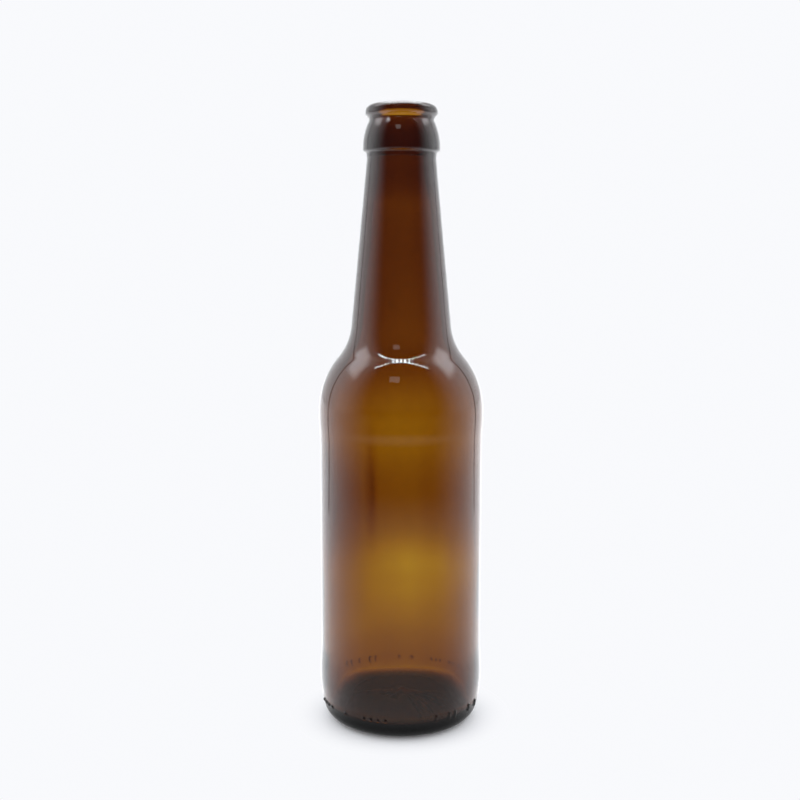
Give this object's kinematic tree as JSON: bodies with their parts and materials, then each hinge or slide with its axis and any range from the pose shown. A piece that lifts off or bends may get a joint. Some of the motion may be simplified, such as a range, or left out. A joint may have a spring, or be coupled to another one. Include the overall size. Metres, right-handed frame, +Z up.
{
  "type": "beer bottle",
  "caption": "Empty long-neck amber glass beer bottle, open at the mouth, with a crown finish, recessed label panel, rounded shoulder and heel, and a pushed-up base.",
  "frame": {"origin": "middle of the bearing ring, on the surface that the bottle stands on", "axes": "+Z up along the bottle's axis towards the mouth; the bottle is round, so X and Y are free"},
  "size_m": [0.0616, 0.0616, 0.23],
  "materials": {
    "amber_glass": "clear brown container glass, glossy and fire-polished"
  },
  "bodies": {
    "root": {"bottle": "amber_glass"}
  },
  "joints": []
}
